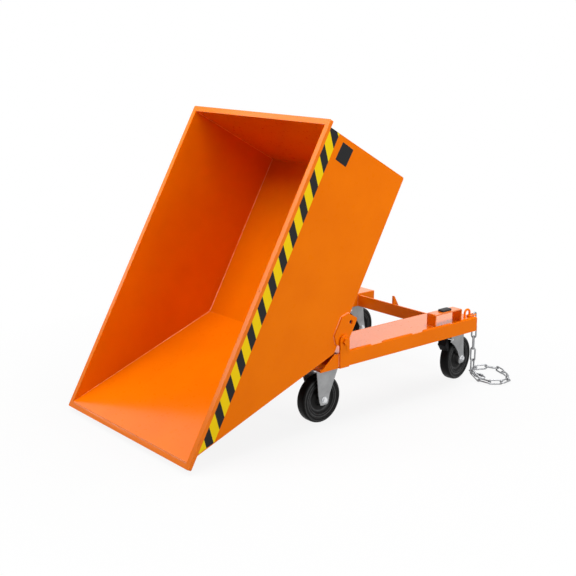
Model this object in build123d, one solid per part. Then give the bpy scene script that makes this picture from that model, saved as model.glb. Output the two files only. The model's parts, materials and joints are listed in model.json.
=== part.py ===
from build123d import *
from math import asin, atan2, ceil, cos, degrees, radians, sin, sqrt, tan
import os

# Tipping hopper on castors, shown tipped out to the front, in millimetres.
# Working frame: x across, y to the rear from the hopper's pivot axis, z up from the floor.
# The front, where it tips out, is at -y. Left is -x and right is +x.

# Hopper shell
hopper_width = 820.0
hopper_depth = 485.0
floor_length = 750.0
front_run = 573.0
sheet = 3.0
bend_inside = 5.0
tip_angle = 61.0

# Rim of rectangular tube round the opening
rim_width = 20.0
rim_height = 15.0
rim_wall = 2.0
rim_corner = 6.0
drip_hole = 5.0

# Pivot ears on the side panels, placed from the fold between floor and front wall
pivot_back = 60.0
pivot_drop = 18.0
ear_thick = 8.0
ear_top = 37.0
ear_radius = 26.0
ear_slope = 26.0
ear_corner = 8.0
lock_spacing = 80.0
lock_hole = 17.0
bush_outer = 20.0
bush_flange = 30.0
flange_thick = 1.0

# Pivot bolt
pivot_dia = 16.0
pivot_head = 24.0
pivot_head_high = 10.0
pivot_nut_high = 13.0
running_gap = 0.05

# Fork pockets, the frame's two side beams
side_gap = 1.5
pocket_width = 195.5
pocket_height = 60.0
pocket_tail = 110.0
web_thick = 6.0
top_thick = 5.0
top_front = -22.0
nose_lead = 2.5
nose_rake = 76.0
stop_gap = 0.8

# Uprights that carry the pivot bolts
upright_width = 50.0
upright_thick = 8.0

# Cross members and catch plate
cross_height = 55.0
cross_thick = 8.0
rear_cross_gap = 9.0
front_cross_y = 20.0
catch_thick = 10.0
catch_rise = 37.0
catch_reach = 42.0
catch_flat = 6.0
catch_rear = 30.0
catch_hole_back = 21.0
catch_hole_up = 43.0

# Rest arches of flat bar with rubber pads
arch_length = 171.0
arch_width = 50.0
arch_thick = 6.0
arch_bend = 8.0
arch_inset = 178.0
arch_setback = 11.0
pad_length = 60.0
pad_width = 32.0
pad_thick = 8.0
pad_gap = 0.3

# Latch bolt that slides across the back wall into the catch plate
latch_dia = 14.0
latch_play = 1.0
latch_tip = 9.0
latch_tail = 112.0
guide_radius = 15.0
guide_thick = 8.0
guide_near = 20.0
guide_far = 62.0
guide_foot = 5.0
guide_top = 60.0
collar_dia = 24.0
collar_wide = 6.0
handle_dia = 10.0
handle_rise = 50.0
handle_inset = 7.0
knob_dia = 20.0

# Castors
castor_height = 245.0
castor_plate_long = 138.0
castor_plate_wide = 110.0
castor_plate_thick = 5.0
castor_bolt_long = 105.0
castor_bolt_wide = 80.0
castor_bolt = 10.0
bolt_play = 1.0
bolt_head = 17.0
bolt_head_high = 6.4
bolt_nut_high = 8.0
mount_plate_ahead = 75.0
mount_plate_behind = 200.0
mount_plate_thick = 8.0
front_castor_y = -42.0
fork_sheet = 4.0
fork_bend = 6.0
fork_foot = 22.0
foot_corner = 11.0
fixed_leg_half = 60.0
rear_plate_inset = 1.0

# Swivel castors
trail = 60.0
right_turn = 10.0
left_turn = 8.0
race_dia = 84.0
race_high = 10.0
king_pin = 14.0
king_head = 26.0
king_head_high = 4.0
swivel_gap = 0.4
crown_half = 46.0
crown_front = 54.0
crown_back = 54.0
crown_skirt = 27.0
crown_corner = 6.0
leg_waist = 19.0
leg_waist_z = 112.0
leg_hollow = 250.0

# Wheels
wheel_radius = 100.0
tyre_width = 47.0
tyre_shoulder = 9.0
tyre_seat = 70.0
rim_lip = 5.0
centre_width = 40.0
web_half = 7.0
hub_radius = 25.0
hub_length = 58.0
hub_gap = 1.0
bearing_outer = 32.0
spacer_outer = 20.0
axle_dia = 12.0
axle_head = 19.0
axle_head_high = 9.0
axle_flange = 27.0
axle_flange_high = 2.5

# Foot brakes
pedal_width = 40.0
pedal_thick = 6.0
pedal_pin = 8.0
pedal_drop = 17.0
pedal_lead = 42.0
shoe_gap = 8.0
shoe_drop = 58.0
tongue_out = 15.0
tongue_drop = 30.0
pedal_eye = 16.0

# Chain lug, ring and safety chain
lug_setback = 36.5
lug_inset = 27.0
lug_span = 32.0
lug_rod = 10.0
lug_bend = 15.0
lug_height = 34.0
ring_pitch = 40.0
chain_wire = 7.0
chain_pitch = 55.0
chain_inside = 12.0
chain_slack = 0.5
loose_slack = 1.0
floor_gap = 0.2
hang_first = 5.0
hang_last = 0.0
chain_twist = 25.0
drop_heading = 0.0
drop_tilt = 90.0
floor_headings = [5, 50, 95, 135, 145, 160, 200, 245, 290, 330]
floor_tilts = [10.0, -80.0]
floor_grips = [0.1, 0.9]
hook_heading = 5.0
hook_droop = 8.0
hook_wire = 7.0
hook_long = 46.0
hook_inside = 16.0
hook_sleeve = 13.0
hook_sleeve_long = 18.0

# Values that follow from the sizes
half_width = hopper_width / 2
front_angle = atan2(hopper_depth, front_run)
bend_outside = bend_inside + sheet
beam_bottom = castor_height
beam_top = beam_bottom + pocket_height
ear_face = half_width + ear_thick
pocket_face = ear_face + side_gap
pocket_inner = pocket_face - pocket_width
pocket_middle = pocket_face - pocket_width / 2
back_face = floor_length + sheet
rear_cross_y = back_face - pivot_back + rear_cross_gap
pocket_reach = rear_cross_y + pocket_tail
rear_castor_y = pocket_reach - castor_plate_long / 2 - rear_plate_inset
arch_y = pocket_reach - arch_inset
lug_x = pocket_face - lug_setback
lug_y = pocket_reach - lug_inset


def tipped(s, n):
    """Place, from the pivot, of a point of the hopper when it is tipped out."""
    turn = radians(tip_angle)
    along = s - pivot_back
    above = n + pivot_drop
    return along * cos(turn) - above * sin(turn), along * sin(turn) + above * cos(turn)


# The tipped hopper comes to rest with its lower fold on the noses of the pocket webs,
# which sets how high the pivot stands over the pockets.
fold_y, fold_z = tipped(bend_inside * tan(front_angle / 2), bend_inside)
nose_y = fold_y + nose_lead
pivot_z = beam_top - fold_z + sqrt((bend_outside + stop_gap) ** 2 - nose_lead**2)
floor_under = pivot_z + pivot_drop - sheet
arch_height = floor_under - beam_top - pad_thick - pad_gap

# From hopper places (x, s to the rear of the lower fold, n above the floor sheet) to the frame
hopper_place = Pos(0, 0, pivot_z) * Rot(tip_angle, 0, 0) * Pos(0, -pivot_back, pivot_drop)

parts = {}


def side_plate(outline, x_from, x_to):
    """Plate cut to an outline in y and z, between two places across."""
    return extrude(Plane.YZ.offset(x_from) * outline, x_to - x_from)


def cross_rod(diameter, x_from, x_to, y=0.0, z=0.0):
    """Round rod along x."""
    return Pos(0, y, z) * side_plate(Circle(diameter / 2), x_from, x_to)


def cross_hex(across, x_from, x_to, y=0.0, z=0.0):
    """Hexagonal head or nut along x."""
    outline = RegularPolygon(across / 2, 6, major_radius=False)
    return Pos(0, y, z) * side_plate(outline, x_from, x_to)


def upright_rod(diameter, z_from, z_to):
    """Round rod along z."""
    return extrude(Plane.XY.offset(z_from) * Circle(diameter / 2), z_to - z_from)


def mirrored(shape):
    """The same piece on the left."""
    return mirror(shape, Plane.YZ)


def group(shapes):
    """Separate solids that share a node."""
    return Compound([solid for shape in shapes for solid in shape.solids()])


def pair(name, shape):
    """A right-hand piece and its mirror image."""
    parts[name + "_right"] = shape
    parts[name + "_left"] = mirrored(shape)


# Trough: back wall, floor and front wall bent from one sheet, with the walls' ends at the rim
def wall_line(offset, radius):
    """Line of the trough's walls, at a distance outside its inner surface."""
    rear = floor_length + offset
    fold = -offset * tan(front_angle / 2)
    lip = -front_run - offset / sin(front_angle)
    corners = [(rear, hopper_depth), (rear, -offset), (fold, -offset), (lip, hopper_depth)]
    return FilletPolyline(*corners, radius=radius)


inner_line = wall_line(0, bend_inside)
outer_line = wall_line(sheet, bend_outside)
trough_ends = [Line(inner_line @ 0, outer_line @ 0), Line(inner_line @ 1, outer_line @ 1)]
trough_section = make_face([inner_line, outer_line, *trough_ends])
panel_inside = half_width - sheet
trough = side_plate(trough_section, -panel_inside, panel_inside)
parts["trough_sheet"] = hopper_place * trough

# Side panels, flush with the outside of the trough
panel_outline = make_face([outer_line, Line(outer_line @ 1, outer_line @ 0)])
panel = side_plate(panel_outline, panel_inside, half_width)
parts["side_panel_right"] = hopper_place * panel
parts["side_panel_left"] = hopper_place * mirrored(panel)

# Rim: rectangular tube outside the walls, mitred at the corners
lip_s = (outer_line @ 1).X
rim_middle = (back_face + lip_s) / 2
opening_length = back_face - lip_s


def rim_ring(inset, z_from, z_to):
    """Ring round the opening, drawn in by a wall from the tube's faces."""
    outer = RectangleRounded(
        hopper_width + 2 * (rim_width - inset),
        opening_length + 2 * (rim_width - inset),
        rim_corner - inset,
    )
    inner = Rectangle(hopper_width + 2 * inset, opening_length + 2 * inset)
    ring = Pos(0, rim_middle) * (outer - inner)
    return extrude(Plane.XY.offset(z_from) * ring, z_to - z_from)


rim_bottom = hopper_depth - rim_height
rim_tube = rim_ring(0, rim_bottom, hopper_depth)
rim_tube -= rim_ring(rim_wall, rim_bottom + rim_wall, hopper_depth - rim_wall)
drip = Pos(half_width + rim_width / 2, rim_middle, hopper_depth) * Cylinder(drip_hole / 2, 3 * rim_wall)
rim_tube -= drip
rim_tube -= mirrored(drip)
flare = 2 * rim_width
mitres = {
    "right": [
        (half_width, back_face),
        (half_width + flare, back_face + flare),
        (half_width + flare, lip_s - flare),
        (half_width, lip_s),
    ],
    "rear": [
        (half_width, back_face),
        (half_width + flare, back_face + flare),
        (-half_width - flare, back_face + flare),
        (-half_width, back_face),
    ],
    "front": [
        (half_width, lip_s),
        (half_width + flare, lip_s - flare),
        (-half_width - flare, lip_s - flare),
        (-half_width, lip_s),
    ],
}
mitres["left"] = [(-x, s) for x, s in mitres["right"]]
for where, corners in mitres.items():
    wedge = Pos(0, 0, rim_bottom) * extrude(make_face(Polyline(*corners, close=True)), rim_height)
    parts["rim_bar_" + where] = hopper_place * (rim_tube & wedge)

# Pivot ears: thick plates on the outside of the side panels, with the pivot and a spare pin hole
lock_s = pivot_back + lock_spacing
ear_front = pivot_back - ear_radius
ear_rear = lock_s + ear_radius
ear_bottom = -pivot_drop - ear_radius
ear_corners = [
    (ear_front, -pivot_drop),
    (ear_front, ear_top - ear_slope),
    (ear_front + ear_slope, ear_top),
    (ear_rear - ear_slope, ear_top),
    (ear_rear, ear_top - ear_slope),
    (ear_rear, ear_bottom),
    (pivot_back, ear_bottom),
]
ear_outline = make_face(Polyline(*ear_corners, close=True))
ear_heel = [v for v in ear_outline.vertices() if v.X > lock_s and v.Y < -pivot_drop]
ear_outline = fillet(ear_heel, ear_corner) + Pos(pivot_back, -pivot_drop) * Circle(ear_radius)
ear_outline -= Pos(pivot_back, -pivot_drop) * Circle(bush_outer / 2)
ear_outline -= Pos(lock_s, -pivot_drop) * Circle(lock_hole / 2)
ear = side_plate(ear_outline, half_width, ear_face)
parts["pivot_ear_right"] = hopper_place * ear
parts["pivot_ear_left"] = hopper_place * mirrored(ear)

# Pivot bushes with a thrust flange between ear and upright
bush = cross_rod(bush_outer, half_width, ear_face) + cross_rod(bush_flange, ear_face, ear_face + flange_thick)
bush -= cross_rod(pivot_dia + 2 * running_gap, half_width, pocket_face)
bush = Pos(0, 0, pivot_z) * bush
parts["pivot_bushes"] = group([bush, mirrored(bush)])

# Fork pockets: outer and inner web with slanted noses, and a top plate between them
web_corners = [
    (pocket_reach, beam_bottom),
    (pocket_reach, beam_top),
    (nose_y, beam_top),
    (nose_y - nose_rake, beam_bottom),
]
web_outline = make_face(Polyline(*web_corners, close=True))
outer_inside = pocket_face - web_thick
inner_inside = pocket_inner + web_thick
pair("outer_web", side_plate(web_outline, outer_inside, pocket_face))
pair("inner_web", side_plate(web_outline, pocket_inner, inner_inside))
top_length = pocket_reach - top_front
top_place = ((outer_inside + inner_inside) / 2, top_front + top_length / 2, beam_top - top_thick / 2)
pair("pocket_top", Pos(*top_place) * Box(outer_inside - inner_inside, top_length, top_thick))

# Castor mounting plates across the bottom of each pocket
bolt_places = [
    (sx * castor_bolt_wide / 2, sy * castor_bolt_long / 2) for sx in (-1, 1) for sy in (-1, 1)
]
bolt_holes = [Pos(x, y) * Circle((castor_bolt + bolt_play) / 2) for x, y in bolt_places]
castor_spots = {
    "front_right": (pocket_middle, front_castor_y),
    "front_left": (-pocket_middle, front_castor_y),
    "rear_right": (pocket_middle, rear_castor_y),
    "rear_left": (-pocket_middle, rear_castor_y),
}
plate_half = castor_plate_long / 2
mount_spans = {"front": (-mount_plate_ahead, mount_plate_behind), "rear": (-plate_half, plate_half)}
mount_plates = []
for spot, (x, y) in castor_spots.items():
    first, last = mount_spans[spot.split("_")[0]]
    outline = Pos(0, (first + last) / 2) * Rectangle(outer_inside - inner_inside, last - first)
    outline -= bolt_holes
    mount_plates.append(Pos(x, y, beam_bottom) * extrude(outline, mount_plate_thick))
parts["castor_mount_plates"] = group(mount_plates)

# Uprights: flat bars on the outer webs, round at the top about the pivot
upright_outline = Pos(0, (beam_bottom + pivot_z) / 2) * Rectangle(upright_width, pivot_z - beam_bottom)
upright_outline += Pos(0, pivot_z) * Circle(upright_width / 2)
upright_outline -= Pos(0, pivot_z) * Circle(pivot_dia / 2 + running_gap)
upright_face = pocket_face + upright_thick
pair("pivot_upright", side_plate(upright_outline, pocket_face, upright_face))

# Pivot bolts with their nuts inside the ears
nut_face = half_width - pad_gap
pivot_bolt = cross_rod(pivot_dia, nut_face - pivot_nut_high - bolt_play, upright_face)
pivot_bolt += cross_hex(pivot_head, upright_face, upright_face + pivot_head_high)
pivot_bolt += cross_hex(pivot_head, nut_face - pivot_nut_high, nut_face)
pivot_bolt = Pos(0, 0, pivot_z) * pivot_bolt
parts["pivot_bolts"] = group([pivot_bolt, mirrored(pivot_bolt)])

# Cross members of flat bar on edge between the inner webs
for where, y in (("front", front_cross_y), ("rear", rear_cross_y)):
    bar = Box(2 * pocket_inner, cross_thick, cross_height)
    parts["cross_member_" + where] = Pos(0, y + cross_thick / 2, beam_bottom + cross_height / 2) * bar

# Catch plate: fin behind the rear cross member, with a hole for the latch bolt
catch_y = rear_cross_y + cross_thick
catch_top = beam_bottom + cross_height + catch_rise
catch_corners = [
    (catch_y, beam_bottom),
    (catch_y, catch_top),
    (catch_y + catch_flat, catch_top),
    (catch_y + catch_reach, beam_bottom + catch_rear),
    (catch_y + catch_reach, beam_bottom),
]
catch_outline = make_face(Polyline(*catch_corners, close=True))
catch_hole_y = catch_y + catch_hole_back
catch_hole_z = beam_bottom + catch_hole_up
catch_outline -= Pos(catch_hole_y, catch_hole_z) * Circle(latch_dia / 2 + latch_play)
parts["catch_plate"] = side_plate(catch_outline, -catch_thick / 2, catch_thick / 2)


# Rest arches: flat bar bent to an inverted U on each pocket
def arch_line(inset, radius):
    """Line of the arch, drawn in from its outer face."""
    half = arch_length / 2 - inset
    top = arch_height - inset
    return FilletPolyline((-half, 0), (-half, top), (half, top), (half, 0), radius=radius)


arch_outer = arch_line(0, arch_bend)
arch_inner = arch_line(arch_thick, arch_bend - arch_thick)
arch_ends = [Line(arch_outer @ 0, arch_inner @ 0), Line(arch_outer @ 1, arch_inner @ 1)]
arch_section = make_face([arch_outer, arch_inner, *arch_ends])
arch_right = pocket_face - arch_setback
arch = side_plate(arch_section, arch_right - arch_width, arch_right)
pair("rest_arch", Pos(0, arch_y, beam_top) * arch)
pad_place = (arch_right - arch_width / 2, arch_y, beam_top + arch_height)
pad_outline = RectangleRounded(pad_width, pad_length, pad_width / 4)
pad = fillet(extrude(pad_outline, pad_thick).faces().sort_by(Axis.Z)[-1].edges(), pad_thick / 4)
pad = Pos(*pad_place) * pad
parts["rest_pads"] = group([pad, mirrored(pad)])

# Latch guides: two plates on the back wall that reach down past the floor sheet
latch_s = catch_hole_y + pivot_back
latch_n = catch_hole_z - pivot_z - pivot_drop
guide_outline = make_hull(
    [
        *(Pos(latch_s, latch_n) * Circle(guide_radius)).edges(),
        Line((back_face, guide_foot), (back_face, guide_top)),
    ]
)
guide_outline -= Pos(latch_s, latch_n) * Circle(latch_dia / 2 + running_gap)
guides = [side_plate(guide_outline, -x - guide_thick, -x) for x in (guide_near, guide_far)]
parts["latch_guides"] = hopper_place * group(guides)

# Latch bolt, drawn back, with its stop collar and an upright handle
collar_at = bolt_play - guide_far
handle_at = handle_inset - latch_tail
latch_bolt = cross_rod(latch_dia, -latch_tail, -latch_tip)
latch_bolt += cross_rod(collar_dia, collar_at, collar_at + collar_wide)
latch_bolt += Pos(handle_at, 0, 0) * upright_rod(handle_dia, 0, handle_rise)
latch_bolt += Pos(handle_at, 0, handle_rise) * Sphere(knob_dia / 2)
parts["latch_bolt"] = hopper_place * Pos(0, latch_s, latch_n) * latch_bolt

# Castor bolts with nuts, through the mounting plates and the castors' top plates
bolt_top = beam_bottom + mount_plate_thick
plate_under = beam_bottom - castor_plate_thick
castor_bolt_solid = upright_rod(castor_bolt, plate_under - bolt_nut_high - bolt_play, bolt_top)
hexagon = RegularPolygon(bolt_head / 2, 6, major_radius=False, rotation=30)
castor_bolt_solid += extrude(Plane.XY.offset(bolt_top) * hexagon, bolt_head_high)
castor_bolt_solid += extrude(Plane.XY.offset(plate_under - bolt_nut_high) * hexagon, bolt_nut_high)
parts["castor_bolts"] = group(
    [
        Pos(x + dx, y + dy, 0) * castor_bolt_solid
        for x, y in castor_spots.values()
        for dx, dy in bolt_places
    ]
)

# Wheels: rubber tyre on a moulded centre that turns on a bearing
leg_inside = hub_length / 2 + hub_gap
leg_outside = leg_inside + fork_sheet


def turned(half_profile):
    """Ring turned about the axle from an outline of half-width and radius, on both sides."""
    outline = half_profile + mirror(half_profile, Plane.YZ)
    return revolve(outline, Axis.X)


tyre_half = tyre_width / 2
centre_half = centre_width / 2
seat_flank = tyre_seat + rim_lip
tyre_profile = make_face(
    [
        Line((0, tyre_seat), (centre_half - rim_lip, tyre_seat)),
        Line((centre_half - rim_lip, tyre_seat), (centre_half, seat_flank)),
        Line((centre_half, seat_flank), (tyre_half, seat_flank + rim_lip)),
        Line((tyre_half, seat_flank + rim_lip), (tyre_half, wheel_radius - tyre_shoulder)),
        RadiusArc(
            (tyre_half, wheel_radius - tyre_shoulder),
            (tyre_half - tyre_shoulder, wheel_radius),
            -tyre_shoulder,
        ),
        Line((tyre_half - tyre_shoulder, wheel_radius), (0, wheel_radius)),
        Line((0, wheel_radius), (0, tyre_seat)),
    ]
)
tyre = turned(tyre_profile)
hub_half = hub_length / 2
centre_corners = [
    (0, bearing_outer / 2),
    (hub_half, bearing_outer / 2),
    (hub_half, hub_radius),
    (web_half, hub_radius + rim_lip),
    (web_half, tyre_seat - 3 * rim_lip),
    (centre_half, tyre_seat - 2 * rim_lip),
    (centre_half, seat_flank),
    (centre_half - rim_lip, tyre_seat),
    (0, tyre_seat),
]
wheel_centre = turned(make_face(Polyline(*centre_corners, close=True)))
bearing = cross_rod(bearing_outer, -hub_half, hub_half)
bearing -= cross_rod(spacer_outer + 2 * running_gap, -hub_half, hub_half)
spacer = cross_rod(spacer_outer, -leg_inside, leg_inside) - cross_rod(axle_dia, -leg_inside, leg_inside)
axle_end = leg_outside + axle_head_high
axle_half = cross_rod(axle_dia, 0, axle_end) + cross_hex(axle_head, leg_outside, axle_end)
axle_half += cross_rod(axle_flange, leg_outside, leg_outside + axle_flange_high)
axle = axle_half + mirrored(axle_half)


# Castor forks: one pressed sheet, top plate and two legs
flare_z = wheel_radius + fork_foot


def fork_section(half_top, z_top, thick_top):
    """Section across a fork: the crown and two legs that close in towards the axle."""
    outer = [
        (-leg_outside, 0),
        (-leg_outside, flare_z),
        (-half_top, z_top),
        (half_top, z_top),
        (leg_outside, flare_z),
        (leg_outside, 0),
    ]
    inner = [
        (-leg_inside, 0),
        (-leg_inside, flare_z),
        (-half_top + fork_sheet, z_top - thick_top),
        (half_top - fork_sheet, z_top - thick_top),
        (leg_inside, flare_z),
        (leg_inside, 0),
    ]
    outside = make_face(Polyline(*outer, close=True))
    inside = make_face(Polyline(*inner, close=True))
    return fillet(outside.vertices().sort_by(Axis.Y)[-2:], fork_bend) - inside


def pressed_fork(section, side_outline, length):
    """The section carried along the fork, trimmed to the outline seen from the side."""
    bar = extrude(Plane.XZ * section, length, both=True)
    return bar & side_plate(side_outline, -castor_plate_wide, castor_plate_wide)


toe = fork_foot - foot_corner
toes = [edge for y in (-toe, toe) for edge in (Pos(y, -toe) * Circle(foot_corner)).edges()]
foot_outline = make_hull([*toes, Line((-fork_foot, 0), (fork_foot, 0))])
leg_hull = make_hull(
    [
        *(Pos(0, wheel_radius) * foot_outline).edges(),
        Line((-fixed_leg_half, castor_height), (fixed_leg_half, castor_height)),
    ]
)
plate_side = Rectangle(castor_plate_long, castor_plate_thick)
plate_outline = Pos(0, castor_height - castor_plate_thick / 2) * plate_side
fixed_section = fork_section(castor_plate_wide / 2, castor_height, castor_plate_thick)
fixed_fork = pressed_fork(fixed_section, leg_hull + plate_outline, castor_plate_long)
plate_holes = [extrude(Plane.XY.offset(plate_under) * hole, castor_plate_thick) for hole in bolt_holes]
axle_hole = cross_rod(axle_dia, -castor_plate_wide, castor_plate_wide, 0, wheel_radius)
fixed_fork -= plate_holes
fixed_fork -= axle_hole

# Swivel castors, drawn with the wheel trailing to the rear of the swivel axis
crown_top = plate_under - race_high - swivel_gap
crown_under = crown_top - fork_sheet
plate_plan = RectangleRounded(castor_plate_wide, castor_plate_long, crown_corner)
swivel_plate = extrude(plate_plan, castor_plate_thick)
swivel_plate = Pos(0, 0, plate_under) * swivel_plate - plate_holes
race = fillet(Cylinder(race_dia / 2, race_high).edges().sort_by(Axis.Z)[0], race_high / 3)
swivel_plate += Pos(0, 0, plate_under - race_high / 2) * race
swivel_plate += upright_rod(king_pin, crown_under - swivel_gap, plate_under)
swivel_plate += upright_rod(king_head, crown_under - swivel_gap - king_head_high, crown_under - swivel_gap)

skirt_z = crown_top - crown_skirt
leg_side = make_face(
    [
        Line((-crown_front, skirt_z), (-crown_front, crown_top)),
        Line((-crown_front, crown_top), (crown_back, crown_top)),
        Line((crown_back, crown_top), (crown_back, skirt_z)),
        Line((crown_back, skirt_z), (trail + fork_foot, wheel_radius)),
        Line((trail + fork_foot, wheel_radius), (trail - fork_foot, wheel_radius)),
        Line((trail - fork_foot, wheel_radius), (trail - leg_waist, leg_waist_z)),
        RadiusArc((trail - leg_waist, leg_waist_z), (-crown_front, skirt_z), -leg_hollow),
    ]
)
leg_side += Pos(trail, wheel_radius) * foot_outline
swivel_section = fork_section(crown_half, crown_top, fork_sheet)
swivel_fork = pressed_fork(swivel_section, leg_side, castor_plate_long)
crown_plan = RectangleRounded(2 * crown_half, 2 * castor_plate_long, 3 * crown_corner)
swivel_fork &= extrude(Pos(0, castor_plate_long - crown_front) * crown_plan, castor_height)
pedal_z = crown_top - pedal_drop
swivel_fork -= upright_rod(king_pin + 2 * running_gap, crown_under, crown_top)
swivel_fork -= Pos(0, trail, 0) * axle_hole
swivel_fork -= cross_rod(pedal_pin, -castor_plate_wide, castor_plate_wide, -pedal_lead, pedal_z)
brake_pin = cross_rod(pedal_pin, -crown_half, crown_half, -pedal_lead, pedal_z)

# Foot brake: shoe that swings to the tyre when its tongue is trodden down
shoe_z = pedal_z - shoe_drop
shoe_reach = wheel_radius + shoe_gap + pedal_thick / 2
shoe_y = trail - sqrt(shoe_reach**2 - (shoe_z - wheel_radius) ** 2)
eye = Pos(-pedal_lead, pedal_z) * Circle(pedal_eye / 2)
pedal_ends = [
    Pos(shoe_y, shoe_z) * Circle(pedal_thick / 2),
    Pos(-pedal_lead - tongue_out, pedal_z - tongue_drop) * Circle(pedal_thick / 2),
]
pedal_outline = eye
for end in pedal_ends:
    pedal_outline += make_hull([*eye.edges(), *end.edges()])
pedal_outline -= Pos(-pedal_lead, pedal_z) * Circle(pedal_pin / 2 + running_gap)
brake_pedal = side_plate(pedal_outline, -pedal_width / 2, pedal_width / 2)

# Put the castors under the pockets
turns = {"front_right": 0.0, "front_left": 0.0, "rear_right": right_turn, "rear_left": left_turn}
for spot, (x, y) in castor_spots.items():
    end, side = spot.split("_")
    under = Pos(x, y, 0) * Rot(0, 0, turns[spot])
    wheel_place = under * Pos(0, trail if end == "rear" else 0, wheel_radius)
    parts[spot + "_tyre"] = wheel_place * tyre
    parts[spot + "_wheel_centre"] = wheel_place * wheel_centre
    parts[spot + "_bearing"] = wheel_place * bearing
    parts[end + "_axle_" + side] = wheel_place * group([axle, spacer])
    if end == "front":
        parts["fixed_fork_" + side] = under * fixed_fork
        continue
    parts["swivel_plate_" + side] = Pos(x, y, 0) * swivel_plate
    parts["swivel_fork_" + side] = under * swivel_fork
    parts["brake_pin_" + side] = under * brake_pin
    parts["brake_pedal_" + side] = under * brake_pedal

# Chain lug: bent rod standing on the right pocket
lug_half = lug_span / 2
lug_points = [(0, -lug_half, 0), (0, -lug_half, lug_height), (0, lug_half, lug_height), (0, lug_half, 0)]
lug_line = FilletPolyline(*lug_points, radius=lug_bend)
chain_lug = sweep(Pos(0, -lug_half) * Circle(lug_rod / 2), lug_line)
parts["chain_lug"] = Pos(lug_x, lug_y, beam_top) * chain_lug


# Safety chain: welded links threaded through each other, from the lug down to the floor
def link_shape(wire, inside_long, inside_wide):
    """Link of round wire lying in its local xy plane, long way along x."""
    line = SlotOverall(inside_long + wire, inside_wide + wire).face().outer_wire()
    section = Plane(line @ 0, z_dir=line % 0) * Circle(wire / 2)
    return sweep(section, line)


def link_place(start, heading, rise, tilt, inside_long):
    """Place of a link that hangs from a joint, its long way along heading and rise."""
    h = radians(heading)
    e = radians(rise)
    ahead = Vector(cos(e) * cos(h), cos(e) * sin(h), sin(e))
    over = Vector(-sin(e) * cos(h), -sin(e) * sin(h), cos(e))
    aside = Vector(sin(h), -cos(h), 0)
    normal = over * cos(radians(tilt)) + aside * sin(radians(tilt))
    return Plane(start + ahead * (inside_long / 2), x_dir=ahead, z_dir=normal).location, ahead


def next_joint(joint, ahead, after, grip, slack):
    """Start of the next link; grip is the part of the bend that turns about this link's end wire."""
    overlap = grip * (chain_wire + slack)
    reach = chain_pitch - chain_wire / 2 - slack + overlap
    return joint + ahead * reach + after * (chain_wire / 2 - overlap)


ring_y = lug_y + lug_half - lug_rod / 2 - 2 * chain_slack + ring_pitch / 2
ring_z = beam_top + chain_wire / 2 + chain_slack
ring = link_shape(chain_wire, ring_pitch, chain_inside)
parts["chain_ring"] = Pos(lug_x, ring_y, ring_z) * Rot(0, 0, 90) * ring

chain_link = link_shape(chain_wire, chain_pitch, chain_inside)
joint = Vector(lug_x, ring_y + (ring_pitch + chain_wire) / 2, ring_z + chain_wire / 2 + chain_slack)
steepest = max(abs(tilt) for tilt in floor_tilts)
lying_z = (chain_inside + chain_wire) / 2 * sin(radians(steepest)) + chain_wire / 2 + floor_gap
fall = joint.Z - lying_z - chain_pitch - chain_wire / 2
hang_step = chain_pitch - chain_slack
drop_reach = chain_pitch - chain_wire - 2 * loose_slack
hang_steps = ceil((fall - drop_reach) / hang_step)
drop = degrees(asin((fall - hang_steps * hang_step) / drop_reach))

# The hanging links face across each other in turn, with the odd twist shared between them.
odd_twist = (hang_last - hang_first - 90 * hang_steps + 90) % 180 - 90
quarter = 90 + odd_twist / hang_steps
sway = chain_twist - abs(odd_twist / hang_steps)
faces = [hang_first + i * quarter + sway for i in range(1, hang_steps)]
runs = [(face, -90.0, 0.0) for face in [hang_first, *faces, hang_last]]
runs += [(drop_heading, -drop, -drop_tilt)]
on_floor = len(floor_headings)
rises = [0.0] * on_floor + [-hook_droop]
runs += list(zip(floor_headings + [hook_heading], rises, floor_tilts * on_floor))
grips = [0.5] * hang_steps + [1.0, 0.0] + floor_grips * on_floor
slacks = [chain_slack] * hang_steps + [loose_slack] * (on_floor + 2)
links = []
for run, after_run, grip, slack in zip(runs, runs[1:], grips, slacks):
    place, ahead = link_place(joint, *run, chain_pitch)
    links.append(place * chain_link)
    joint = next_joint(joint, ahead, link_place(joint, *after_run, chain_pitch)[1], grip, slack)
parts["safety_chain"] = group(links)

# Screw link at the free end of the chain
screw_link = link_shape(hook_wire, hook_long, hook_inside)
sleeve_outline = RegularPolygon(hook_sleeve / 2, 6, major_radius=False)
sleeve_y = (hook_inside + hook_wire) / 2
sleeve = extrude(Plane.YZ.offset(-hook_sleeve_long / 2) * sleeve_outline, hook_sleeve_long)
screw_link += Pos(0, sleeve_y, 0) * sleeve
place, ahead = link_place(joint, *runs[-1], hook_long)
parts["chain_hook"] = place * screw_link

# Plan origin at the middle of the part, without the loose chain
loose = ("chain_ring", "safety_chain", "chain_hook")
fixed_parts = [shape for name, shape in parts.items() if name not in loose]
middle = Compound(fixed_parts).bounding_box().center()
os.makedirs("parts", exist_ok=True)
for name, shape in parts.items():
    export_step(Pos(0, -middle.Y, 0) * shape, "parts/" + name + ".step")
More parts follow.
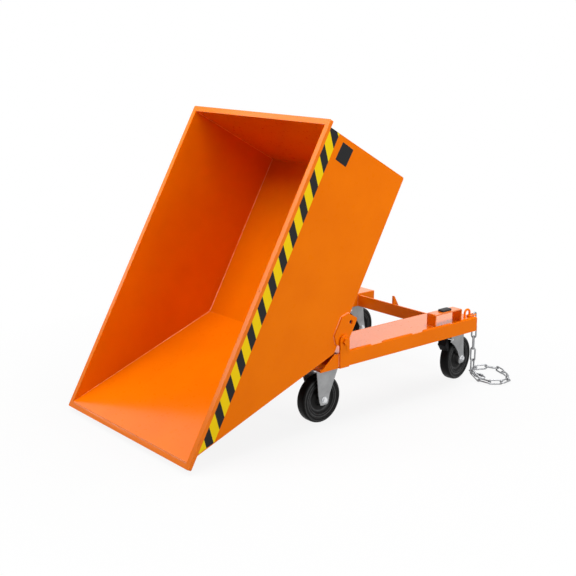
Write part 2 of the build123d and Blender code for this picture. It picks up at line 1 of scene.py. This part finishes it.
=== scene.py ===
import bpy
import json
import numpy as np
from math import cos, radians, sin
from mathutils import Matrix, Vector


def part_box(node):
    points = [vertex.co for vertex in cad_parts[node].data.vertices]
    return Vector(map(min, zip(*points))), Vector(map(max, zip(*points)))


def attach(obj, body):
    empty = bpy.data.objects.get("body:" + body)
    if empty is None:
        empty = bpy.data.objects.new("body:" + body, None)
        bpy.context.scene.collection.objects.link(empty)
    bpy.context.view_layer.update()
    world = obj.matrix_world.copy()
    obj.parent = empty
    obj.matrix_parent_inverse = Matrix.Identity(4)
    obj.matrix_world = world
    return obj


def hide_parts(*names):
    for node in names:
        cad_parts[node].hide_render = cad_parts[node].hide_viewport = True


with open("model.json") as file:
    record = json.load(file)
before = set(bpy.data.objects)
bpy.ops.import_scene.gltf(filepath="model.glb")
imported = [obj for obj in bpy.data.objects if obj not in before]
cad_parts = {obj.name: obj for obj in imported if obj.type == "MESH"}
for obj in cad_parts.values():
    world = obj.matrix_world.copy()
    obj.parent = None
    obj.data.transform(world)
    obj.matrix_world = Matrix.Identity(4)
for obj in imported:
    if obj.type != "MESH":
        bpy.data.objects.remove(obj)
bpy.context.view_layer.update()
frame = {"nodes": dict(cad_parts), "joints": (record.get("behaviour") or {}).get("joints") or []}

# Frame: two fork pockets of welded plate, joined by flat bars across, with the uprights
# that carry the pivot bolts. It is welded, blasted and powder coated orange in one piece,
# with more shine on the level tops and the rest arches.
nodes = frame["nodes"]
sides = ("right", "left")
orange = (0.85, 0.18, 0.0)
orange_deep = (0.80, 0.16, 0.0)
plate_edge = 0.0008
join_distance = 0.00001
sharp_turn = radians(40)


def new_material(name, colour, roughness, metallic=0.0):
    """A material with one Principled shader, and its node tree."""
    material = bpy.data.materials.new(name)
    material.use_nodes = True
    tree = material.node_tree
    shader = tree.nodes["Principled BSDF"]
    shader.inputs["Base Color"].default_value = (*colour, 1)
    shader.inputs["Roughness"].default_value = roughness
    shader.inputs["Metallic"].default_value = metallic
    return material, tree, shader


def noise(tree, scale, detail=3.0):
    """Noise on the piece's own coordinates, with that many cells to the metre."""
    place = tree.nodes.new("ShaderNodeTexCoord")
    texture = tree.nodes.new("ShaderNodeTexNoise")
    texture.inputs["Scale"].default_value = scale
    texture.inputs["Detail"].default_value = detail
    tree.links.new(place.outputs["Object"], texture.inputs["Vector"])
    return texture.outputs["Fac"]


def spread(tree, value, low, high, start=0.3, end=0.7):
    """A value between start and end, spread to the range from low to high."""
    node = tree.nodes.new("ShaderNodeMapRange")
    node.inputs["From Min"].default_value = start
    node.inputs["From Max"].default_value = end
    node.inputs["To Min"].default_value = low
    node.inputs["To Max"].default_value = high
    tree.links.new(value, node.inputs["Value"])
    return node.outputs["Result"]


def blend_colours(tree, factor, first, second):
    """The first colour at 0 and the second at 1."""
    node = tree.nodes.new("ShaderNodeMix")
    node.data_type = "RGBA"
    node.inputs["A"].default_value = (*first, 1)
    node.inputs["B"].default_value = (*second, 1)
    tree.links.new(factor, node.inputs["Factor"])
    return node.outputs["Result"]


def cloudy_colour(tree, shader, scale, first, second, detail=3.0):
    """Colour that drifts between two shades, in clouds of that scale."""
    cloud = spread(tree, noise(tree, scale, detail), 0.0, 1.0)
    tree.links.new(blend_colours(tree, cloud, first, second), shader.inputs["Base Color"])


def uneven_gloss(tree, shader, scale, low, high, detail=3.0):
    """Roughness that drifts between low and high, in patches of that scale."""
    patches = spread(tree, noise(tree, scale, detail), low, high)
    tree.links.new(patches, shader.inputs["Roughness"])


def powder_coat(name, coat_ior):
    """Satin orange coat, a little cloudy in colour and gloss."""
    material, tree, shader = new_material(name, orange, 0.4)
    shader.inputs["Specular IOR Level"].default_value = 0.03
    shader.inputs["Coat Weight"].default_value = 1.0
    shader.inputs["Coat IOR"].default_value = coat_ior
    shader.inputs["Coat Roughness"].default_value = 0.16
    cloudy_colour(tree, shader, 5.0, orange, orange_deep)
    uneven_gloss(tree, shader, 60.0, 0.26, 0.36)
    return material


coat = powder_coat("orange_powder_coat", 1.10)
gloss_coat = powder_coat("orange_gloss_coat", 1.72)


def finish_node(name, material, edge=0.0):
    """A CAD node with its finish, and its sharp edges rounded by that radius."""
    piece = nodes[name]
    for place in piece.material_slots:
        place.material = material
    if edge:
        weld = piece.modifiers.new("joined", "WELD")
        weld.merge_threshold = join_distance
        bevel = piece.modifiers.new("edges", "BEVEL")
        bevel.width = edge
        bevel.segments = 2
        bevel.limit_method = "ANGLE"
        bevel.angle_limit = sharp_turn
        bevel.harden_normals = True


frame_plates = [
    "cross_member_front", "cross_member_rear", "catch_plate", "castor_mount_plates", "pivot_bolts",
]
for side in sides:
    frame_plates += [kind + side for kind in ("outer_web_", "inner_web_", "pivot_upright_")]
    finish_node("pocket_top_" + side, gloss_coat, plate_edge)
    finish_node("rest_arch_" + side, gloss_coat, plate_edge)
for name in frame_plates:
    finish_node(name, coat, plate_edge)
for name in ("chain_lug", "chain_ring"):
    finish_node(name, coat)

# Weld beads where the plates of the frame meet: short runs of stacked scales. The outer edges
# of the pockets' tops are stitched with beads in the plates' coat; the bars, uprights, arches and
# the catch plate are welded along their whole edges with beads in a lighter orange, a painted
# highlight.
joints = {joint["name"]: joint for joint in frame["joints"]}
pivot = np.array(joints["hopper_tip"]["pos_m"])
both_sides = (("right", 1), ("left", -1))
bead_radius = 0.003
bead_sides = 8
scale_pitch = 0.0035
scale_swell = 0.12
scale_lag = 0.7
rings_per_scale = 4
fewest_rings = 12
end_length = 1.5
off_line = (0.31, 0.53, 0.79)
pole_distance = 0.000002
# The beads' lighter orange is a painted highlight, drifting in clouds into the plain coat orange.
weld_highlight_orange = (0.95, 0.34, 0.12)
weld_coat, tree, shader = new_material("weld_coat", weld_highlight_orange, 0.3)
cloudy_colour(tree, shader, 30.0, weld_highlight_orange, orange)
uneven_gloss(tree, shader, 90.0, 0.24, 0.4)


def bead(start, end, radius):
    """Tube round a straight line whose radius swells once per scale, lagging round the bead,
    and closes at both ends like an ellipse. The tube's turn starts square to off_line."""
    start, end = np.array(start, float), np.array(end, float)
    length = np.linalg.norm(end - start)
    along = (end - start) / length
    aside = np.cross(along, off_line)
    aside /= np.linalg.norm(aside)
    above = np.cross(along, aside)
    rings = max(fewest_rings, int(rings_per_scale * length / scale_pitch))
    u = np.linspace(0, length, rings)[:, None]
    v = np.linspace(0, 2 * np.pi, bead_sides, endpoint=False)[None, :]
    short_of_end = np.clip(1 - np.minimum(u, length - u) / (end_length * radius), 0, 1)
    taper = np.sqrt(np.clip(1 - short_of_end**2, 0, 1))
    scales = 1 + scale_swell * np.sin(2 * np.pi * u / scale_pitch + scale_lag * np.cos(v))
    r = (radius * taper * scales)[..., None]
    round_it = np.cos(v)[..., None] * aside + np.sin(v)[..., None] * above
    return start + u[..., None] * along + r * round_it


def grid_faces(rows, columns, first=0, round_rows=False, round_columns=True):
    """Quads of a grid of points, joined round where it closes."""
    i = np.arange(rows if round_rows else rows - 1)[:, None]
    j = np.arange(columns if round_columns else columns - 1)[None, :]
    i1, j1 = (i + 1) % rows, (j + 1) % columns
    corners = [i * columns + j, i * columns + j1, i1 * columns + j1, i1 * columns + j]
    return first + np.stack(np.broadcast_arrays(*corners), -1).reshape(-1, 4)


def new_piece(name, points, faces, material, body, smooth=True):
    """A mesh piece that rides on a body, smooth up to its sharp edges."""
    mesh = bpy.data.meshes.new(name)
    mesh.from_pydata(points.tolist(), [], faces.tolist())
    mesh.update()
    if smooth:
        mesh.shade_smooth()
        mesh.set_sharp_from_angle(angle=sharp_turn)
    piece = bpy.data.objects.new(name, mesh)
    bpy.context.scene.collection.objects.link(piece)
    mesh.materials.append(material)
    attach(piece, body)
    return piece


def close_poles(piece):
    """Rings of no size joined to one point each."""
    weld = piece.modifiers.new("poles", "WELD")
    weld.merge_threshold = pole_distance


def new_beads(name, runs, material, body):
    """All beads of one kind on a body as one piece."""
    grids = [bead(*run) for run in runs]
    firsts = np.cumsum([0] + [len(grid) * bead_sides for grid in grids])
    faces = [grid_faces(len(grid), bead_sides, first) for grid, first in zip(grids, firsts)]
    points = np.concatenate([grid.reshape(-1, 3) for grid in grids])
    piece = new_piece(name, points, np.concatenate(faces), material, body)
    close_poles(piece)


def upright_run(x, y, foot, head):
    """Run of a bead straight up from foot to head."""
    return (x, y, foot), (x, y, head), bead_radius


web = 0.006
upright_half = 0.025
upright_foot = 0.004
upright_head = 0.002
bar_foot = 0.003
fin_foot = 0.004
stitch = 0.18
stitch_gap = 0.062
stitch_radius = 0.005
cross_bars = ("cross_member_front", "cross_member_rear")
frame_runs = []
stitch_runs = []
for side, sign in both_sides:
    low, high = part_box("outer_web_" + side)
    outer = sign * max(abs(low[0]), abs(high[0]))
    inner = sign * min(abs(corner[0]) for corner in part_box("inner_web_" + side))
    top = high[2]
    for y in (pivot[1] - upright_half, pivot[1] + upright_half):
        frame_runs.append(upright_run(outer, y, low[2] + upright_foot, top - upright_head))
    for bar in cross_bars:
        bar_low, bar_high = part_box(bar)
        for y in (bar_low[1], bar_high[1]):
            frame_runs.append(upright_run(inner, y, bar_low[2] + bar_foot, bar_high[2]))
    arch_low, arch_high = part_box("rest_arch_" + side)
    for y in (arch_low[1], arch_high[1]):
        frame_runs.append(((arch_low[0], y, top), (arch_high[0], y, top), bead_radius))
    seam = outer - sign * web
    front, rear = (corner[1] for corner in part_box("pocket_top_" + side))
    for y in np.arange(front, rear - stitch_gap, stitch + stitch_gap):
        stitch_runs.append(((seam, y, top), (seam, min(y + stitch, rear), top), stitch_radius))
fin_low, fin_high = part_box("catch_plate")
bar_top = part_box("cross_member_rear")[1][2]
for x in (fin_low[0], fin_high[0]):
    frame_runs.append(upright_run(x, fin_low[1], fin_low[2] + fin_foot, bar_top))
new_beads("frame_welds", frame_runs, weld_coat, "frame")
new_beads("pocket_welds", stitch_runs, coat, "frame")

# Rest pads: black rubber blocks, moulded with a fine grain and fixed on top of the arches.
# The upright hopper sits down on them.
rubber_black = (0.016, 0.015, 0.015)
rubber_worn = (0.024, 0.023, 0.022)


def add_grain(tree, shader, scale, depth, strength):
    """Bump on the shader's normal, in grains of that scale and of that depth in metres."""
    node = tree.nodes.new("ShaderNodeBump")
    node.inputs["Distance"].default_value = depth
    node.inputs["Strength"].default_value = strength
    tree.links.new(noise(tree, scale), node.inputs["Height"])
    tree.links.new(node.outputs["Normal"], shader.inputs["Normal"])


rubber, tree, shader = new_material("pad_rubber", rubber_black, 0.62)
shader.inputs["Specular IOR Level"].default_value = 0.25
cloudy_colour(tree, shader, 40.0, rubber_black, rubber_worn)
add_grain(tree, shader, 700.0, 0.0002, 0.4)
finish_node("rest_pads", rubber)

# Castors: forks and plates pressed from steel sheet and zinc plated, held by bright
# zinc bolts. The swivel ones have a black foot brake on a pin through the fork.
bolt_edge = 0.0004
zinc_grey = (0.28, 0.285, 0.29)
zinc_pale = (0.36, 0.365, 0.37)
zinc, tree, shader = new_material("dull_zinc", zinc_grey, 0.5, 0.55)
cloudy_colour(tree, shader, 25.0, zinc_grey, zinc_pale, detail=5.0)
uneven_gloss(tree, shader, 90.0, 0.42, 0.58, detail=4.0)
add_grain(tree, shader, 300.0, 0.0001, 0.3)
bright_grey = (0.76, 0.77, 0.78)
bright_dull = (0.66, 0.67, 0.69)
bright, tree, shader = new_material("bright_zinc", bright_grey, 0.28, 1.0)
cloudy_colour(tree, shader, 50.0, bright_grey, bright_dull)
uneven_gloss(tree, shader, 260.0, 0.2, 0.36, detail=4.0)
moulded_black = (0.008, 0.008, 0.009)
moulded_worn = (0.014, 0.014, 0.015)
moulded, tree, shader = new_material("moulded_black", moulded_black, 0.5)
shader.inputs["Specular IOR Level"].default_value = 0.04
cloudy_colour(tree, shader, 30.0, moulded_black, moulded_worn)
uneven_gloss(tree, shader, 120.0, 0.42, 0.58)
add_grain(tree, shader, 900.0, 0.0001, 0.3)
for side in sides:
    for kind in ("fixed_fork_", "swivel_fork_", "swivel_plate_"):
        finish_node(kind + side, zinc, plate_edge)
    for kind in ("front_axle_", "rear_axle_", "brake_pin_"):
        finish_node(kind + side, bright, bolt_edge)
    for end in ("front_", "rear_"):
        finish_node(end + side + "_bearing", bright)
    finish_node("brake_pedal_" + side, moulded)
finish_node("castor_bolts", bright, bolt_edge)

# Brake treads: moulded black shells pushed over the brake levers, from below the pin down
# to the shoe and out to the tongue. Each knob of the outline has its place outward and up
# from the pin, and its radius.
tread_half = 0.0206
tread_edge = 0.0014
tread_around = 96
edge_rings = 5
tread_knobs = np.array([
    (0.0025, -0.0150, 0.0065),
    (-0.0045, -0.0575, 0.0031),
    (0.0155, -0.0300, 0.0042),
])


def moulded_shell(pin, outward, across):
    """For each direction round the pin the farthest point of three knobs, carried across the
    shell. Towards both sides the knobs shrink along a quarter circle, and each side closes in
    its middle."""
    turn = np.linspace(0, 2 * np.pi, tread_around, endpoint=False)
    ray = np.stack((np.cos(turn), np.sin(turn)), -1)
    farthest = np.argmax(ray @ tread_knobs[:, :2].T + tread_knobs[:, 2], axis=1)
    centre, radius = tread_knobs[farthest, :2], tread_knobs[farthest, 2:]
    edge_turn = np.linspace(0, np.pi / 2, edge_rings)
    inset = tread_edge * (1 - np.cos(edge_turn))
    inset = np.concatenate((inset[::-1], inset))[:, None, None]
    place = tread_half - tread_edge + tread_edge * np.sin(edge_turn)
    place = np.concatenate((place[::-1], -place))
    place = np.concatenate((place[:1], place, place[-1:]))[:, None, None]
    middle = np.broadcast_to(tread_knobs[:, :2].mean(0), (1, tread_around, 2))
    outline = np.concatenate((middle, centre + (radius - inset) * ray, middle))
    up = np.array((0.0, 0.0, 1.0))
    points = pin + outline[..., :1] * outward + outline[..., 1:] * up + place * across
    return points.reshape(-1, 3), grid_faces(len(outline), tread_around)


for side in sides:
    brake, spin = joints["brake_" + side], joints["rear_wheel_" + side]
    pin = np.array(brake["pos_m"])
    outward = (pin - spin["pos_m"]) * (1, 1, 0)
    outward /= np.linalg.norm(outward)
    points, faces = moulded_shell(pin, outward, np.array(brake["axis"]))
    name = "brake_tread_" + side
    tread = new_piece(name, points, faces, moulded, brake["child"])
    close_poles(tread)

# Wheels: solid rubber tyre with ribs on each flank, pressed on a dished black plastic
# centre. Sections list half-width, radius and, from 0 to 1, how strongly a rib edge gets a painted
# highlight.
wheel_around = 96
tyre_flank = [
    (0.0, 0.0998, 0.0), (0.006, 0.0999, 0.0), (0.0125, 0.0996, 0.0), (0.0165, 0.0986, 0.0),
    (0.0195, 0.0969, 0.0), (0.0216, 0.0946, 0.0), (0.0229, 0.0922, 0.7), (0.0234, 0.0895, 0.7),
    (0.0234, 0.0862, 0.1), (0.0218, 0.0852, 0.0), (0.0218, 0.0826, 0.1), (0.0228, 0.0816, 0.4),
    (0.0224, 0.0800, 0.3), (0.0200, 0.0788, 0.0), (0.0200, 0.0772, 0.8), (0.0196, 0.0752, 1.0),
    (0.0150, 0.0702, 0.0), (0.0, 0.0702, 0.0),
]
centre_flank = [
    (0.0, 0.0698, 0.0), (0.0149, 0.0698, 0.0), (0.0198, 0.0745, 1.0), (0.0199, 0.0722, 0.8),
    (0.0180, 0.0712, 0.1), (0.0180, 0.0684, 0.0), (0.0190, 0.0674, 0.6), (0.0186, 0.0642, 0.6),
    (0.0150, 0.0622, 0.1), (0.0118, 0.0590, 0.0), (0.0092, 0.0555, 0.2), (0.0086, 0.0530, 0.8),
    (0.0082, 0.0500, 0.8), (0.0072, 0.0480, 0.1), (0.0072, 0.0440, 0.0), (0.0074, 0.0380, 0.0),
    (0.0085, 0.0338, 0.0), (0.0112, 0.0306, 0.1), (0.0160, 0.0284, 0.2), (0.0225, 0.0264, 0.3),
    (0.0282, 0.0254, 0.5), (0.0290, 0.0246, 0.2), (0.0290, 0.0162, 0.0), (0.0, 0.0162, 0.0),
]


def map_parts(tree, name):
    """A UV map of the piece, split into its two directions."""
    reader = tree.nodes.new("ShaderNodeUVMap")
    reader.uv_map = name
    split = tree.nodes.new("ShaderNodeSeparateXYZ")
    tree.links.new(reader.outputs["UV"], split.inputs["Vector"])
    return split.outputs


def calculate(tree, operation, first, second=None):
    """The outcome of a sum on one or two values of the tree."""
    node = tree.nodes.new("ShaderNodeMath")
    node.operation = operation
    tree.links.new(first, node.inputs[0])
    if second is not None:
        tree.links.new(second, node.inputs[1])
    return node.outputs["Value"]


def highlighted_black(name, black, scuff, specular):
    """Black material with painted highlights: lighter where the piece's highlight map says so."""
    material, tree, shader = new_material(name, black, 0.42)
    shader.inputs["Specular IOR Level"].default_value = specular
    patches = spread(tree, noise(tree, 60.0, 4.0), 0.5, 1.0)
    highlight_share = calculate(tree, "MULTIPLY", map_parts(tree, "scuff")["Y"], patches)
    tree.links.new(blend_colours(tree, highlight_share, black, scuff), shader.inputs["Base Color"])
    uneven_gloss(tree, shader, 150.0, 0.34, 0.5)
    return material


# Both blacks carry painted highlights on the rib edges, lighter rings in place of reflections.
tyre_rubber = highlighted_black("tyre_rubber", (0.006, 0.006, 0.006), (0.075, 0.075, 0.075), 0.07)
wheel_plastic = highlighted_black("wheel_plastic", (0.008, 0.008, 0.008), (0.085, 0.085, 0.086), 0.09)
wheel_rings = (
    ("_tyre", tyre_flank, tyre_rubber, "tyre_rubber"),
    ("_wheel_centre", centre_flank, wheel_plastic, "wheel_plastic"),
)


def turned(flank, middle, axis):
    """Ring turned about an axle from half its section, mirrored: for each point of the section
    a circle of its radius, moved along the axle by its half-width. The map takes the turn and
    the point's painted highlight."""
    half = np.array(flank)
    section = np.concatenate([half, half[-2:0:-1] * (-1, 1, 1)])
    axis = np.array(axis, float)
    up = np.array((0.0, 0.0, 1.0))
    turn = np.linspace(0, 2 * np.pi, wheel_around, endpoint=False)[:, None, None]
    spoke = np.cos(turn) * up + np.sin(turn) * np.cross(up, axis)
    ring = middle + section[None, :, :1] * axis + section[None, :, 1:2] * spoke
    scuff = np.broadcast_arrays(turn[..., 0] / (2 * np.pi), section[None, :, 2])
    faces = grid_faces(wheel_around, len(section), round_rows=True)
    return ring.reshape(-1, 3), np.stack(scuff, -1).reshape(-1, 2), faces


def add_map(piece, name, places):
    """A UV map from one place per vertex."""
    layer = piece.data.uv_layers.new(name=name)
    vertex = np.zeros(len(piece.data.loops), int)
    piece.data.loops.foreach_get("vertex_index", vertex)
    layer.data.foreach_set("uv", places[vertex].ravel())


for end in ("front_", "rear_"):
    for side in sides:
        body = end + "wheel_" + side
        spin = joints[body]
        for kind, flank, material, slot in wheel_rings:
            node = end + side + kind
            points, scuff, faces = turned(flank, np.array(spin["pos_m"]), spin["axis"])
            piece = new_piece(node + "_ring", points, faces, material, body)
            add_map(piece, "scuff", scuff)
            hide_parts(node)

# Hopper: floor, back and front wall bent from one sheet, two side panels welded in, and
# a rim of rectangular tube round the opening. It has the frame's coat, with more shine on
# the bent sheet and the rim, and pivots on bronze bushes in its two ears.
sheet_coat = powder_coat("orange_sheet_coat", 1.35)
rim_coat = powder_coat("orange_rim_coat", 1.24)
bronze, tree, shader = new_material("bush_bronze", (0.48, 0.29, 0.10), 0.35, 1.0)
uneven_gloss(tree, shader, 200.0, 0.28, 0.45)
for side in sides:
    finish_node("side_panel_" + side, coat, plate_edge)
    finish_node("pivot_ear_" + side, coat, plate_edge)
finish_node("latch_guides", coat, plate_edge)
finish_node("trough_sheet", sheet_coat, plate_edge)
for place in ("left", "right", "front", "rear"):
    finish_node("rim_bar_" + place, rim_coat, plate_edge)
finish_node("pivot_bushes", bronze)

# Hopper welds: fillets in the three corners between the trough and each side panel, thin
# along the back wall, and round the part of each ear that lies on its panel.
half_width = 0.410
hopper_depth = 0.485
floor_length = 0.750
front_run = 0.573
sheet = 0.003
pivot_back = 0.060
pivot_drop = 0.018
tip = radians(joints["hopper_tip"]["range_deg"][1])
seam_radii = (0.0034, 0.0034, 0.0015)
seam_inset = 0.0004
seam_short = 0.004
seam_top = hopper_depth - seam_short
seam_line = [(-front_run, seam_top), (0.0, 0.0), (floor_length, 0.0), (floor_length, seam_top)]
ear_line = [
    (0.034, -0.003), (0.034, 0.011), (0.060, 0.037),
    (0.140, 0.037), (0.166, 0.011), (0.166, -0.003),
]


def on_hopper(x, s, n):
    """Place of a point of the tipped hopper: x across, s back from the lower fold, n above the
    floor sheet, turned by the tip about the pivot."""
    x, s, n = np.broadcast_arrays(np.asarray(x, float), s, n)
    along, above = s - pivot_back, n + pivot_drop
    y = pivot[1] + along * cos(tip) - above * sin(tip)
    z = pivot[2] + along * sin(tip) + above * cos(tip)
    return np.stack((x, y, z), -1)


hopper_runs = []
for side, sign in both_sides:
    x = sign * (half_width - sheet - seam_inset)
    for first, last, radius in zip(seam_line, seam_line[1:], seam_radii):
        hopper_runs.append((on_hopper(x, *first), on_hopper(x, *last), radius))
    x = sign * half_width
    for first, last in zip(ear_line, ear_line[1:]):
        hopper_runs.append((on_hopper(x, *first), on_hopper(x, *last), bead_radius))
# These beads take the lighter weld orange, a painted highlight.
new_beads("hopper_welds", hopper_runs, weld_coat, "hopper")

# Hazard tape: a self-adhesive strip of slanted black and yellow bars on each side panel,
# close under the rim, cut off along the front wall. The left strip mirrors the right one,
# so its faces are listed the other way round.
rim_height = 0.015
tape_gap = 0.007
tape_wide = 0.060
tape_thick = 0.0003
tape_lift = 0.00035
tape_rows = 60
tape_columns = 3
bar_pitch = 0.1016
bar_start = -0.424
black_share = 0.48
tape_yellow = (0.85, 0.60, 0.0)
tape_black = (0.012, 0.012, 0.013)
tape, tree, shader = new_material("hazard_tape", tape_yellow, 0.42)
shader.inputs["Specular IOR Level"].default_value = 0.12
bar_place = calculate(tree, "FRACT", map_parts(tree, "tape")["X"])
is_black = calculate(tree, "LESS_THAN", bar_place)
is_black.node.inputs[1].default_value = black_share
bars = blend_colours(tree, is_black, tape_yellow, tape_black)
tree.links.new(bars, shader.inputs["Base Color"])
uneven_gloss(tree, shader, 80.0, 0.34, 0.5)
for side, sign in both_sides:
    along = np.linspace(0, 1, tape_rows)[:, None]
    across = np.linspace(0, 1, tape_columns)[None, :]
    n = hopper_depth - rim_height - tape_gap - tape_wide * across
    cut = -front_run * n / hopper_depth
    s = cut + along * (floor_length + sheet - cut)
    n = n + 0 * s
    points = on_hopper(sign * (half_width + tape_lift), s, n).reshape(-1, 3)
    faces = grid_faces(tape_rows, tape_columns, round_columns=False)[:, ::-sign]
    piece = new_piece("hazard_tape_" + side, points, faces, tape, "hopper", smooth=False)
    backing = piece.modifiers.new("backing", "SOLIDIFY")
    backing.thickness = tape_thick
    backing.offset = -1
    bar_map = np.stack(((s - n - bar_start) / bar_pitch, n / tape_wide), -1)
    add_map(piece, "tape", bar_map.reshape(-1, 2))

# Label plate: a thin black plate with rounded corners, left bare, glued on the right side
# panel near the back wall. Its rings run from the middle of the glued side over the edge.
label_middle = (0.695, 0.341)
label_size = np.array((0.073, 0.063))
label_turn = radians(-3)
label_thick = 0.0008
label_corner = 0.003
label_around = 48
ring_share = np.array((0.0, 1.0, 1.0, 0.985, 0.0))
ring_rise = label_thick * np.array((0.0, 0.0, 0.8, 1.0, 1.0))
label, tree, shader = new_material("label_black", (0.012, 0.012, 0.013), 0.38)
shader.inputs["Specular IOR Level"].default_value = 0.12
uneven_gloss(tree, shader, 220.0, 0.3, 0.46)
turn = np.linspace(0, 2 * np.pi, label_around, endpoint=False)
ray = np.stack((np.cos(turn), np.sin(turn)), -1)
outline = np.sign(np.round(ray, 6)) * (label_size / 2 - label_corner) + label_corner * ray
s = outline[:, 0] * cos(label_turn) - outline[:, 1] * sin(label_turn)
n = outline[:, 0] * sin(label_turn) + outline[:, 1] * cos(label_turn)
s = label_middle[0] + ring_share[:, None] * s
n = label_middle[1] + ring_share[:, None] * n
points = on_hopper(half_width + ring_rise[:, None], s, n).reshape(-1, 3)
faces = grid_faces(len(ring_share), label_around)
plate = new_piece("label_plate", points, faces, label, "hopper", smooth=False)
close_poles(plate)

# Latch bolt: a bright zinc rod with a handle, sliding in two guide plates on the back wall.
# It holds the upright hopper on the frame's catch plate.
latch_edge = 0.0006
finish_node("latch_bolt", bright, latch_edge)

# Safety chain: welded galvanised links from the ring on the lug down to the floor, where
# they lie in a loop, with a screw link at the free end.
galvanised_grey = (0.36, 0.365, 0.375)
galvanised_dull = (0.24, 0.245, 0.255)
galvanised, tree, shader = new_material("galvanised", galvanised_grey, 0.36, 0.7)
cloudy_colour(tree, shader, 80.0, galvanised_grey, galvanised_dull, detail=5.0)
uneven_gloss(tree, shader, 200.0, 0.28, 0.48)
add_grain(tree, shader, 500.0, 0.0002, 0.3)
for name in ("safety_chain", "chain_hook"):
    finish_node(name, galvanised)

# Stage: a pale floor that keeps the soft shadow near the object and turns white further out,
# in a white room. What is seen straight, mirrored or through glass is the pale side.
floor_half = 7.0
floor_pale = (0.55, 0.55, 0.55)
floor_bounce = (0.2, 0.2, 0.2)
white_near = 0.88
fade_start = 0.7
fade_end = 1.8
room_light = 0.05


def seen_ray(tree):
    """1 for rays from the camera, from gloss and through glass, and 0 for the rest."""
    path = tree.nodes.new("ShaderNodeLightPath").outputs
    direct = calculate(tree, "MAXIMUM", path["Is Camera Ray"], path["Is Glossy Ray"])
    return calculate(tree, "MAXIMUM", direct, path["Is Transmission Ray"])


floor_mesh = bpy.data.meshes.new("floor")
floor_corners = [(-1, -1, 0), (1, -1, 0), (1, 1, 0), (-1, 1, 0)]
floor_mesh.from_pydata((floor_half * np.array(floor_corners)).tolist(), [], [(0, 1, 2, 3)])
floor = bpy.data.objects.new("floor", floor_mesh)
bpy.context.scene.collection.objects.link(floor)
pale, tree, shader = new_material("pale_floor", floor_pale, 0.9)
seen = seen_ray(tree)
floor_colour = blend_colours(tree, seen, floor_bounce, floor_pale)
tree.links.new(floor_colour, shader.inputs["Base Color"])
away = tree.nodes.new("ShaderNodeVectorMath")
away.operation = "LENGTH"
place = tree.nodes.new("ShaderNodeTexCoord")
tree.links.new(place.outputs["Object"], away.inputs[0])
fade = spread(tree, away.outputs["Value"], white_near, 1.0, fade_start, fade_end)
glow = tree.nodes.new("ShaderNodeEmission")
glow.inputs["Strength"].default_value = 1.0
mix = tree.nodes.new("ShaderNodeMixShader")
tree.links.new(calculate(tree, "MULTIPLY", seen, fade), mix.inputs["Fac"])
tree.links.new(shader.outputs["BSDF"], mix.inputs[1])
tree.links.new(glow.outputs["Emission"], mix.inputs[2])
tree.links.new(mix.outputs["Shader"], tree.nodes["Material Output"].inputs["Surface"])
floor_mesh.materials.append(pale)

world = bpy.data.worlds.new("white_room")
bpy.context.scene.world = world
world.use_nodes = True
tree = world.node_tree
backdrop = tree.nodes["Background"]
backdrop.inputs["Color"].default_value = (1, 1, 1, 1)
strength = spread(tree, seen_ray(tree), room_light, 1.0, 0.0, 1.0)
tree.links.new(strength, backdrop.inputs["Strength"])

# Lamps and camera: four square soft lamps above and beside the object, and the camera at
# the photograph's place, given from the hopper's pivot.
lamp_target = np.array((0.0, 0.0, 0.45))


def set_up(name, data, place, back, right):
    """A lamp or camera at a place, looking against back, with right on its right hand."""
    stand = bpy.data.objects.new(name, data)
    bpy.context.scene.collection.objects.link(stand)
    pose = np.identity(4)
    pose[:3, 0], pose[:3, 1], pose[:3, 2] = right, np.cross(back, right), back
    pose[:3, 3] = place
    stand.matrix_world = Matrix(pose.tolist())
    return stand


def add_lamp(name, place, size, power):
    """A square soft lamp that faces the target, with its sides level."""
    lamp = bpy.data.lights.new(name, "AREA")
    lamp.size = size
    lamp.energy = power
    back = np.array(place) - lamp_target
    back /= np.linalg.norm(back)
    right = np.cross((0, 0, 1), back)
    set_up(name, lamp, place, back, right / np.linalg.norm(right))


add_lamp("key_lamp", (0.0, -1.4, 3.3), 2.2, 103)
add_lamp("side_lamp", (3.8, 0.25, 1.30), 2.4, 97)
add_lamp("rear_lamp", (0.4, 1.7, 3.2), 2.2, 106)
add_lamp("left_lamp", (-2.4, -2.6, 2.5), 2.4, 54)

camera_from_pivot = (3.267512, -2.716063, 1.183607)
azimuth, elevation, roll = radians(49.569), radians(13.882), radians(0.296)
lens = bpy.data.cameras.new("photo_camera")
lens.sensor_width = 36.0
lens.lens = 65.26
back = (sin(azimuth) * cos(elevation), -cos(azimuth) * cos(elevation), sin(elevation))
level = np.array((cos(azimuth), sin(azimuth), 0.0))
right = cos(roll) * level + sin(roll) * np.cross(back, level)
eye = set_up("photo_camera", lens, pivot + camera_from_pivot, back, right)
bpy.context.scene.camera = eye
bpy.context.scene.view_settings.view_transform = "Standard"
